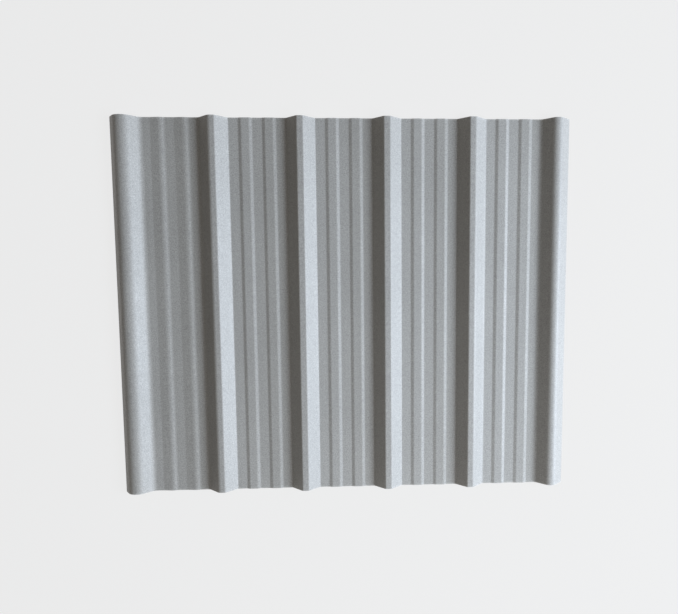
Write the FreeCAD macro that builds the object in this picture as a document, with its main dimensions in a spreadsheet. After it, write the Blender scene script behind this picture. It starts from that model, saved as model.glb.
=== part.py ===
"""Trapezoidal PVC roofing sheet: one extruded sheet of constant gauge.

Millimetres, X across the sheet, Y along the ribs, Z up. The origin is on the floor under the
middle of the sheet, so the undersides of the pans lie in the plane Z = 0.

The section repeats from crest to crest: half a main rib, a pan that carries two low stiffening
ribs, and half the next main rib. In the first pan the low ribs rise more gently on their left.
Half a rib closes each side, with a broader crest and a steeper flank on the left, and the bends
are rounded last, softest at the two sides.
"""

import FreeCAD, Part

import os
import Sketcher

NODE = "roofing_sheet"
MATCH = 0.01  # two places closer than this are the same

# The driving dimensions.
SIZES = [
    ("rib_count", 6, "main ribs across the sheet"),
    ("rib_pitch", 210, "centre to centre of the main ribs"),
    ("rib_height", 25, "pan surface to crest surface"),
    ("rib_base", 70.6, "main rib width at the pan surface"),
    ("rib_crest", 15.8, "main rib width at the crest surface"),
    ("left_reach", 16, "left side rib's centre to the outer edge of its crest"),
    ("low_spacing", 57.6, "centre to centre of the two low ribs in a pan"),
    ("low_height", 2.4, "pan surface to low rib surface"),
    ("low_base", 34, "low rib width at the pan surface"),
    ("low_crest", 19, "low rib width at its top"),
    ("first_rise", 20, "width of the low ribs' left flanks in the first pan"),
    ("gauge", 2, "sheet thickness"),
    ("sheet_length", 925, "along the ribs"),
    ("edge_lift", 1.5, "floor to the cut edges of the two sides"),
    ("sharp_bend", 4, "inside bend radius of the inner main ribs"),
    ("low_bend", 8, "inside bend radius of the low ribs"),
    ("left_bend", 23, "inside bend radius of the left side rib's crest"),
    ("left_foot_bend", 18, "inside bend radius at its foot"),
    ("first_low_bend", 20, "inside bend radius of the low ribs in the first pan"),
    ("second_bend", 12, "inside bend radius of the second rib, on its left"),
    ("fifth_bend", 8, "inside bend radius of the last rib but one, on its right"),
    ("right_bend", 15, "inside bend radius of the right side rib"),
]

# Places worked out from them: x is from a main crest's centre, z from the floor.
FLANK = "atan2(sizes.rib_height; (sizes.rib_base - sizes.rib_crest) / 2)"
LEFT_FLANK = "atan2(sizes.rib_height; sizes.rib_base / 2 - sizes.left_reach)"
LOW_FLANK = "atan2(sizes.low_height; (sizes.low_base - sizes.low_crest) / 2)"
FIRST_FLANK = "atan2(sizes.low_height; sizes.first_rise)"
LOW_MIDDLE = "(sizes.rib_pitch - sizes.low_spacing) / 2"
LOW_RUN = f"sizes.low_height / sin({LOW_FLANK})"
PLACES = [
    ("middle", "0"),
    ("last_rib", "sizes.rib_pitch * (sizes.rib_count - 1) / 2"),
    ("crest_edge", "sizes.rib_crest / 2"),
    ("foot", "sizes.rib_base / 2"),
    ("low_near_foot", f"{LOW_MIDDLE} - sizes.low_base / 2"),
    ("low_near_edge", f"{LOW_MIDDLE} - sizes.low_crest / 2"),
    ("low_far_edge", f"{LOW_MIDDLE} + sizes.low_crest / 2"),
    ("low_far_foot", f"{LOW_MIDDLE} + sizes.low_base / 2"),
    ("first_near_edge", "low_near_foot + sizes.first_rise"),
    ("first_far_edge", "low_far_foot - sizes.first_rise"),
    ("crest_z", "sizes.gauge + sizes.rib_height"),
    ("low_z", "sizes.gauge + sizes.low_height"),
    ("mitre", f"sizes.gauge * tan({FLANK} / 2)"),
    ("left_mitre", f"sizes.gauge * tan({LEFT_FLANK} / 2)"),
    ("low_mitre", f"sizes.gauge * tan({LOW_FLANK} / 2)"),
    ("first_mitre", f"sizes.gauge * tan({FIRST_FLANK} / 2)"),
    # The cut edges of the two sides, square to their flanks.
    ("right_under", f"foot - mitre - sizes.edge_lift / tan({FLANK})"),
    ("right_over", f"right_under + sizes.gauge * sin({FLANK})"),
    ("right_over_z", f"sizes.edge_lift + sizes.gauge * cos({FLANK})"),
    ("left_under", f"foot - left_mitre - sizes.edge_lift / tan({LEFT_FLANK})"),
    ("left_over", f"left_under + sizes.gauge * sin({LEFT_FLANK})"),
    ("left_over_z", f"sizes.edge_lift + sizes.gauge * cos({LEFT_FLANK})"),
    # The largest bends: their tangents stay on half a crest or low flank, and share a flat.
    ("flat", "low_near_foot - foot"),
    ("most_bend", f"min(0.94 * crest_edge; 0.6 * flat) / tan({FLANK} / 2) - sizes.gauge"),
    ("left_tangents", f"tan({FLANK} / 2) + tan({LEFT_FLANK} / 2)"),
    ("most_left_bend", "0.94 * (crest_edge + sizes.left_reach) / left_tangents - sizes.gauge"),
    ("most_foot_bend", f"0.6 * flat / tan({FLANK} / 2) - sizes.gauge"),
    ("most_low_bend", f"min(0.47 * {LOW_RUN}; 0.3 * flat) / tan({LOW_FLANK} / 2) - sizes.gauge"),
    ("first_crest", "low_far_edge - first_near_edge"),
    ("first_tangents", f"tan({LOW_FLANK} / 2) + tan({FIRST_FLANK} / 2)"),
    ("most_first_bend", "min(0.94 * first_crest / first_tangents - sizes.gauge; most_low_bend)"),
]

# Corners of the weather surface from a crest's centre to the middle of a pan, as (x, z, mitre):
# the underside's corner is one gauge lower, and is moved in x by the mitre.
CREST = ("places.middle", "places.crest_z", "places.middle")
RIB = [
    ("places.crest_edge", "places.crest_z", "-places.mitre"),
    ("places.foot", "sizes.gauge", "-places.mitre"),
]
LEFT_CREST_EDGE = ("sizes.left_reach", "places.crest_z", "-places.left_mitre")
LOW_RIB = [
    ("places.low_near_foot", "sizes.gauge", "places.low_mitre"),
    ("places.low_near_edge", "places.low_z", "places.low_mitre"),
    ("places.low_far_edge", "places.low_z", "-places.low_mitre"),
    ("places.low_far_foot", "sizes.gauge", "-places.low_mitre"),
]
# In the first pan: the low rib beside the first main rib, and the one beside the second.
FIRST_LOW_RIB = [
    ("places.low_near_foot", "sizes.gauge", "places.first_mitre"),
    ("places.first_near_edge", "places.low_z", "places.first_mitre"),
    ("places.low_far_edge", "places.low_z", "-places.low_mitre"),
    ("places.low_far_foot", "sizes.gauge", "-places.low_mitre"),
]
NEXT_LOW_RIB = [
    ("places.low_near_foot", "sizes.gauge", "places.low_mitre"),
    ("places.low_near_edge", "places.low_z", "places.low_mitre"),
    ("places.first_far_edge", "places.low_z", "-places.first_mitre"),
    ("places.low_far_foot", "sizes.gauge", "-places.first_mitre"),
]
TOPS = ("places.crest_z", "places.low_z")


def add_sheet(doc, name, rows):
    """A spreadsheet with one named cell a row, as (alias, text, meaning)."""
    sheet = doc.addObject("Spreadsheet::Sheet", name)
    for row, (alias, text, meaning) in enumerate(rows, start=1):
        sheet.set(f"A{row}", alias)
        sheet.set(f"B{row}", text)
        sheet.setAlias(f"B{row}", alias)
        sheet.set(f"C{row}", meaning)
    doc.recompute()
    return sheet


def base_feature(body, role):
    """One of the body's own base planes or axes, such as XZ_Plane."""
    for feature in body.Origin.OriginFeatures:
        if feature.Role == role:
            return feature
    raise ValueError(f"the body has nothing named {role}")


def value(doc, formula):
    """The present value of a formula of cells."""
    return float(doc.places.evalExpression(formula))


def rib_centre(number):
    """Formula for the X of main rib number, counted from 1 at the left."""
    return f"(sizes.rib_pitch * {number - 1} - places.last_rib)"


def points(corners, centre, turn):
    """Formulas (x, z) of the corners over and under the sheet, in order of x.

    They are measured from centre, to its right where turn is 1 and to its left where it is -1.
    """
    sign = "+" if turn > 0 else "-"
    over = [(f"{centre} {sign} ({x})", z) for x, z, _ in corners]
    under = [(f"{centre} {sign} ({x} + {m})", f"{z} - sizes.gauge") for x, z, m in corners]
    return over[::turn], under[::turn]


def joined(*halves):
    """Several results of points end to end."""
    over = [point for half in halves for point in half[0]]
    under = [point for half in halves for point in half[1]]
    return over, under


def side_points(corners, centre, turn, name):
    """Half a side rib: its crest, its bend, and the cut edge at the end of its flank."""
    over, under = points(corners, centre, turn)
    sign = "+" if turn > 0 else "-"
    last_over = (f"{centre} {sign} places.{name}_over", f"places.{name}_over_z")
    last_under = (f"{centre} {sign} places.{name}_under", "sizes.edge_lift")
    if turn > 0:
        return over + [last_over], under + [last_under]
    return [last_over] + over, [last_under] + under


def add_section(body, name, over, under):
    """A closed sketch in the XZ plane: along the weather surface, then back underneath."""
    sketch = body.newObject("Sketcher::SketchObject", name)
    sketch.AttachmentSupport = [(base_feature(body, "XZ_Plane"), "")]
    sketch.MapMode = "FlatFace"
    outline = over + under[::-1]
    places = [(value(body.Document, x), value(body.Document, z)) for x, z in outline]
    for start, end in zip(places, places[1:] + places[:1]):
        line = Part.LineSegment(FreeCAD.Vector(*start, 0), FreeCAD.Vector(*end, 0))
        sketch.addGeometry(line, False)
    count = len(places)
    for i in range(count):
        sketch.addConstraint(Sketcher.Constraint("Coincident", i, 2, (i + 1) % count, 1))
    for i, (place, formulas) in enumerate(zip(places, outline)):
        for kind, number, formula in zip(("DistanceX", "DistanceY"), place, formulas):
            index = sketch.addConstraint(Sketcher.Constraint(kind, -1, 1, i, 1, number))
            sketch.setExpression(f"Constraints[{index}]", formula)
    return sketch


def add_strip(body, name, outline):
    """A length of the sheet: its section drawn out along the ribs, half to each side."""
    section = add_section(body, f"{name}_section", *outline)
    pad = body.newObject("PartDesign::Pad", name)
    pad.Profile = section
    pad.SideType = "Symmetric"
    pad.Refine = False
    pad.setExpression("Length", "sizes.sheet_length")
    body.Document.recompute()
    return pad


def edges_at(shape, places):
    """Names of the edges that run along Y through any of the (x, z) places."""
    names = []
    for number, edge in enumerate(shape.Edges, start=1):
        start = edge.firstVertex().Point
        end = edge.lastVertex().Point
        if abs(start.x - end.x) > MATCH or abs(start.z - end.z) > MATCH:
            continue
        if any(abs(start.x - x) < MATCH and abs(start.z - z) < MATCH for x, z in places):
            names.append(f"Edge{number}")
    return names


def add_bends(body, name, limit, groups):
    """Rounds bends of one inside radius, given as results of points.

    Each bend has its inside on one surface and its outside, one gauge larger, on the other.
    """
    doc = body.Document
    inside = []
    outside = []
    over, under = joined(*groups)
    for top, bottom in zip(over, under):
        upper = tuple(value(doc, formula) for formula in top)
        lower = tuple(value(doc, formula) for formula in bottom)
        turned_up = top[1] in TOPS
        outside.append(upper if turned_up else lower)
        inside.append(lower if turned_up else upper)
    bend = f"min(sizes.{name}; places.{limit})"
    for face, places, formula in (
        ("inside", inside, bend),
        ("outside", outside, f"{bend} + sizes.gauge"),
    ):
        base = body.Tip
        edges = edges_at(base.Shape, places)
        if len(edges) != len(places):
            raise RuntimeError(f"{name}, {face}: {len(edges)} edges for {len(places)} bends")
        fillet = body.newObject("PartDesign::Fillet", f"{name}_{face}")
        fillet.Base = (base, edges)
        fillet.Refine = False
        fillet.setExpression("Radius", formula)
        body.Tip = fillet
        doc.recompute()


def add_strips(body, ribs):
    """The sheet with sharp bends: the like pitches, the first pitch, and the two sides."""
    doc = body.Document
    half = [CREST] + RIB + LOW_RIB
    start = points(half, rib_centre(2), 1)
    pitch = add_strip(body, "pitch", joined(start, points(half, rib_centre(3), -1)))
    pitches = body.newObject("PartDesign::LinearPattern", "pitches")
    pitches.Originals = [pitch]
    pitches.Direction = (base_feature(body, "X_Axis"), [""])
    pitches.Mode = "Spacing"
    pitches.Refine = False
    pitches.setExpression("Offset", "sizes.rib_pitch")
    pitches.setExpression("Occurrences", "sizes.rib_count - 2")
    body.Tip = pitches
    doc.recompute()

    start = points([CREST] + RIB + FIRST_LOW_RIB, rib_centre(1), 1)
    end = points([CREST] + RIB + NEXT_LOW_RIB, rib_centre(2), -1)
    add_strip(body, "first_pitch", joined(start, end))
    left = side_points([CREST, LEFT_CREST_EDGE], rib_centre(1), -1, "left")
    add_strip(body, "left_side", left)
    right = side_points([CREST, RIB[0]], rib_centre(ribs), 1, "right")
    add_strip(body, "right_side", right).Refine = True
    doc.recompute()


def add_all_bends(body, ribs):
    """Every bend, by how soft it is."""

    def rib(number, turn, corners=RIB):
        return points(corners, rib_centre(number), turn)

    sharp = [rib(2, 1), rib(ribs - 1, -1)]
    for number in range(3, ribs - 1):
        sharp += [rib(number, -1), rib(number, 1)]
    first_low = [rib(1, 1, FIRST_LOW_RIB), rib(2, -1, NEXT_LOW_RIB)]
    low = []
    for number in range(2, ribs):
        low += [rib(number, 1, LOW_RIB), rib(number + 1, -1, LOW_RIB)]

    left_crest = [rib(1, -1, [LEFT_CREST_EDGE]), rib(1, 1, RIB[:1])]
    add_bends(body, "left_bend", "most_left_bend", left_crest)
    add_bends(body, "left_foot_bend", "most_foot_bend", [rib(1, 1, RIB[1:])])
    add_bends(body, "second_bend", "most_bend", [rib(2, -1)])
    add_bends(body, "sharp_bend", "most_bend", sharp)
    add_bends(body, "fifth_bend", "most_bend", [rib(ribs - 1, 1)])
    add_bends(body, "right_bend", "most_bend", [rib(ribs, -1), rib(ribs, 1, RIB[:1])])
    add_bends(body, "first_low_bend", "most_first_bend", first_low)
    add_bends(body, "low_bend", "most_low_bend", low)


def check(doc, body):
    """The body's shape. Raises if any object failed, or if it isn't one valid solid."""
    failed = [o.Name for o in doc.Objects if {"Invalid", "Error"} & set(o.State)]
    if failed:
        raise RuntimeError(f"these didn't build: {failed}")
    shape = body.Shape
    if shape.isNull() or not shape.isValid() or len(shape.Solids) != 1:
        raise RuntimeError("the sheet isn't one valid solid")
    return shape


doc = FreeCAD.newDocument("roofing")
sizes = add_sheet(doc, "sizes", [(name, str(number), note) for name, number, note in SIZES])
add_sheet(doc, "places", [(name, f"={formula}", "") for name, formula in PLACES])
body = doc.addObject("PartDesign::Body", NODE)
body.Label = NODE
body.Placement = FreeCAD.Placement()
add_strips(body, int(sizes.rib_count))
add_all_bends(body, int(sizes.rib_count))
shape = check(doc, body)
os.makedirs("parts", exist_ok=True)
shape.exportStep(f"parts/{NODE}.step")
box = shape.BoundBox
print(f"{box.XLength:.2f} x {box.YLength:.2f} x {box.ZLength:.2f} mm, {shape.Volume:.0f} mm3")
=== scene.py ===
"""Look of the PVC roofing sheet: matt pale grey plastic, lit low from the right on a pale floor."""

import math

import bpy
from mathutils import Euler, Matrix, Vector


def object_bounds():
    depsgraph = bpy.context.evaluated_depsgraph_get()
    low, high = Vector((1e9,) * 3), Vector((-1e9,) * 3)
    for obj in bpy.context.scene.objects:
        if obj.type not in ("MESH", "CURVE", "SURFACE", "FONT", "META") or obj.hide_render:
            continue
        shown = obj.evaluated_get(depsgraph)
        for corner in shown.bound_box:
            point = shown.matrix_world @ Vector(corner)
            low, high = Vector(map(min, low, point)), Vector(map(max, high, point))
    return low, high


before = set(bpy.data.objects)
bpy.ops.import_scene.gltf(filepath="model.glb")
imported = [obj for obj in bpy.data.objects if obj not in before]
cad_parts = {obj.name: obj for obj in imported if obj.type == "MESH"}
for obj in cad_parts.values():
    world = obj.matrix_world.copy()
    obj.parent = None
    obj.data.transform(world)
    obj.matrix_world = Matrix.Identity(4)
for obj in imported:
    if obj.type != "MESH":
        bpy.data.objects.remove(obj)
cad_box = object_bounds()

# Metres, watts and linear colours.
SHEET = "roofing_sheet"
SHEET_GREY = (0.331, 0.321, 0.307)
SHEET_IOR = 1.53
GLOSS = 0.6
RELIEF = 0.0006
WORN_ENDS = 0.005

FLOOR_SIZE = 12.0
FLOOR_GAP = 0.0002
FLOOR_DIFFUSE = 0.05
FLOOR_GLOW = 0.79

SKY_COLOUR = (1.0, 0.93, 0.83, 1.0)
SKY_STRENGTH = 0.17

# Each light's reach from the sheet's centre, degrees round from +X, degrees up, width along
# the floor and height, power, and colour.
LIGHTS = {
    "key": (3.9, -8.0, 33.0, (2.6, 1.2), 195.0, (0.86, 0.97, 1.09)),
    "low": (3.5, -8.0, 14.0, (2.6, 0.5), 45.0, (0.84, 0.96, 1.16)),
    "fill": (2.0, -80.0, 42.0, (0.8, 0.8), 9.0, (0.95, 0.98, 1.0)),
}

CAMERA_PLACE = (0.01767, 0.09225, 1.40792)
CAMERA_TURN = (-5.0795, -2.5946, -0.3269)  # degrees from looking straight down
LENS = 29.7345  # mm, on a sensor of the width below
SENSOR = 36.0
SHIFT = (-0.0573, 0.0198)
NEAREST = 0.05

NOISE_MIDDLE = (0.3, 0.7)  # the range that most of a noise's values lie in


class Nodes:
    """Short ways to add and join the nodes of one material."""

    def __init__(self, name):
        self.material = bpy.data.materials.new(name)
        self.material.use_nodes = True
        self.tree = self.material.node_tree
        self.shader = self.tree.nodes["Principled BSDF"]

    def add(self, kind, inputs=None, **settings):
        """A node of a kind, with some of its settings and of its inputs' values."""
        node = self.tree.nodes.new(kind)
        for key, value in settings.items():
            setattr(node, key, value)
        for name, value in (inputs or {}).items():
            node.inputs[name].default_value = value
        return node

    def join(self, source, target):
        self.tree.links.new(source, target)

    def noise(self, vector, scale, detail=2.0, roughness=0.5):
        inputs = {"Scale": scale, "Detail": detail, "Roughness": roughness}
        node = self.add("ShaderNodeTexNoise", inputs)
        self.join(vector, node.inputs["Vector"])
        return node.outputs["Fac"]

    def stretched(self, vector, scale):
        node = self.add("ShaderNodeMapping", {"Scale": scale})
        self.join(vector, node.inputs["Vector"])
        return node.outputs["Vector"]

    def to_range(self, value, low, high, given=NOISE_MIDDLE):
        """The value moved from the given range to low and high, and held between them."""
        inputs = {"From Min": given[0], "From Max": given[1], "To Min": low, "To Max": high}
        node = self.add("ShaderNodeMapRange", inputs)
        self.join(value, node.inputs["Value"])
        return node.outputs["Result"]

    def math(self, operation, *values):
        node = self.add("ShaderNodeMath", operation=operation)
        for socket, value in zip(node.inputs, values):
            if isinstance(value, float):
                socket.default_value = value
            else:
                self.join(value, socket)
        return node.outputs["Value"]

    def product(self, first, *others):
        for other in others:
            first = self.math("MULTIPLY", first, other)
        return first


def end_wear(m, place):
    """Patchy rubbing near the two sawn ends, 1 at the edge and 0 further in than WORN_ENDS."""
    parts = m.add("ShaderNodeSeparateXYZ")
    m.join(place, parts.inputs["Vector"])
    end = cad_box[1][1]
    near = m.to_range(m.math("ABSOLUTE", parts.outputs["Y"]), 0.0, 1.0, (end - WORN_ENDS, end))
    patches = m.to_range(m.noise(place, 110.0, 3.0, 0.6), 0.15, 1.0, (0.4, 0.65))
    return m.product(near, patches)


def add_colour(m, place, along, wear):
    """Grey with soft clouds, faint streaks along the ribs, fine specks, and paler worn ends."""
    clouds = m.to_range(m.noise(place, 5.0, 3.0), 0.965, 1.035)
    streaks = m.to_range(m.noise(along, 160.0), 0.985, 1.015)
    specks = m.to_range(m.noise(place, 420.0, 2.0, 0.75), 0.68, 1.32)
    worn = m.to_range(wear, 1.0, 1.3, (0.0, 1.0))
    colour = m.add("ShaderNodeMix", data_type="RGBA", blend_type="MULTIPLY")
    colour.inputs["Factor"].default_value = 1.0
    colour.inputs["A"].default_value = (*SHEET_GREY, 1.0)
    m.join(m.product(clouds, streaks, specks, worn), colour.inputs["B"])
    m.join(colour.outputs["Result"], m.shader.inputs["Base Color"])


def add_gloss(m, place, wear):
    """A low gloss, uneven at a centimetre's scale and duller at the worn ends."""
    rough = m.to_range(m.noise(place, 90.0, 3.0), 0.50, 0.58)
    m.join(m.math("ADD", rough, m.product(wear, 0.2)), m.shader.inputs["Roughness"])
    m.shader.inputs["IOR"].default_value = SHEET_IOR
    m.shader.inputs["Specular IOR Level"].default_value = GLOSS


def add_relief(m, place, along):
    """Embossed grain and a faint ripple across the ribs, as bump."""
    grain = m.noise(place, 650.0, 3.0, 0.65)
    ripple = m.noise(along, 45.0)
    bump = m.add("ShaderNodeBump", {"Strength": 0.35, "Distance": RELIEF})
    m.join(m.math("ADD", m.product(grain, 0.5), m.product(ripple, 0.5)), bump.inputs["Height"])
    m.join(bump.outputs["Normal"], m.shader.inputs["Normal"])


def sheet_material():
    """Fine-grained matt PVC."""
    m = Nodes("matt_pvc")
    place = m.add("ShaderNodeTexCoord").outputs["Object"]
    along = m.stretched(place, (1.0, 0.02, 1.0))
    wear = end_wear(m, place)
    add_colour(m, place, along, wear)
    add_gloss(m, place, wear)
    add_relief(m, place, along)
    return m.material


def floor_material():
    """Pale backdrop, mostly of its own light, so that it stays even behind the sheet."""
    m = Nodes("pale_floor")
    m.shader.inputs["Base Color"].default_value = (FLOOR_DIFFUSE, FLOOR_DIFFUSE, FLOOR_DIFFUSE, 1.0)
    m.shader.inputs["Roughness"].default_value = 1.0
    m.shader.inputs["Specular IOR Level"].default_value = 0.0
    m.shader.inputs["Emission Color"].default_value = (1.0, 1.0, 1.0, 1.0)
    m.shader.inputs["Emission Strength"].default_value = FLOOR_GLOW
    return m.material


def add_floor():
    """A large level floor just under the sheet."""
    place = (0.0, 0.0, cad_box[0][2] - FLOOR_GAP)
    bpy.ops.mesh.primitive_plane_add(size=FLOOR_SIZE, location=place)
    floor = bpy.context.object
    floor.name = "floor"
    floor.data.materials.append(floor_material())


def from_centre(reach, turn, rise):
    """A place at a distance from the sheet's centre, turn degrees round from +X and rise up."""
    turn, rise = math.radians(turn), math.radians(rise)
    flat = reach * math.cos(rise)
    return Vector((flat * math.cos(turn), flat * math.sin(turn), reach * math.sin(rise)))


def add_area(name, place, size, power, colour):
    """A soft rectangular light that faces the sheet's centre."""
    light = bpy.data.lights.new(name, "AREA")
    light.shape = "RECTANGLE"
    light.size, light.size_y = size
    light.energy = power
    light.color = colour
    lamp = bpy.data.objects.new(name, light)
    lamp.location = place
    lamp.rotation_euler = (-place).to_track_quat("-Z", "Y").to_euler()
    bpy.context.scene.collection.objects.link(lamp)


def add_lights():
    """Two long cool softboxes low at the right, a small one at the near end, and a weak warm sky."""
    for name, (reach, turn, rise, size, power, colour) in LIGHTS.items():
        add_area(name, from_centre(reach, turn, rise), size, power, colour)
    world = bpy.data.worlds.new("sky")
    world.use_nodes = True
    background = world.node_tree.nodes["Background"]
    background.inputs["Color"].default_value = SKY_COLOUR
    background.inputs["Strength"].default_value = SKY_STRENGTH
    bpy.context.scene.world = world


def add_camera():
    """Looks down on the sheet, with the ribs upright in the picture."""
    camera = bpy.data.cameras.new("camera")
    camera.sensor_width = SENSOR
    camera.lens = LENS
    camera.shift_x, camera.shift_y = SHIFT
    camera.clip_start = NEAREST
    eye = bpy.data.objects.new("camera", camera)
    eye.location = CAMERA_PLACE
    eye.rotation_euler = Euler([math.radians(angle) for angle in CAMERA_TURN])
    bpy.context.scene.collection.objects.link(eye)
    bpy.context.scene.camera = eye


for slot in bpy.data.objects[SHEET].material_slots:
    slot.material = sheet_material()
add_floor()
add_lights()
add_camera()
bpy.context.scene.view_settings.view_transform = "Standard"
